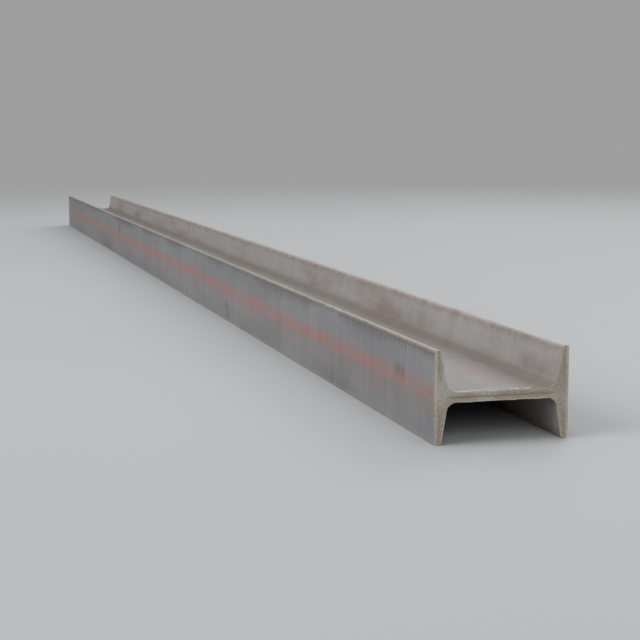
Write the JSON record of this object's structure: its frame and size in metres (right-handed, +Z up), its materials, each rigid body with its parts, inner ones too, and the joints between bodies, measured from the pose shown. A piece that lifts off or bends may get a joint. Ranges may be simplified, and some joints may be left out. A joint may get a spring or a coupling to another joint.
{
  "type": "steel h-beam",
  "caption": "Hot-rolled steel beam of H section with tapered flanges, rounded toes and square sawn ends, lying on its toes with the web level.",
  "frame": {"origin": "on the ground, below the middle of the beam", "axes": "+X along the beam, +Y across the section from flange to flange, +Z up"},
  "size_m": [2.4384, 0.1016, 0.0676],
  "materials": {
    "rolled_steel": "matte"
  },
  "bodies": {
    "root": {"h_beam": "rolled_steel"}
  },
  "joints": []
}
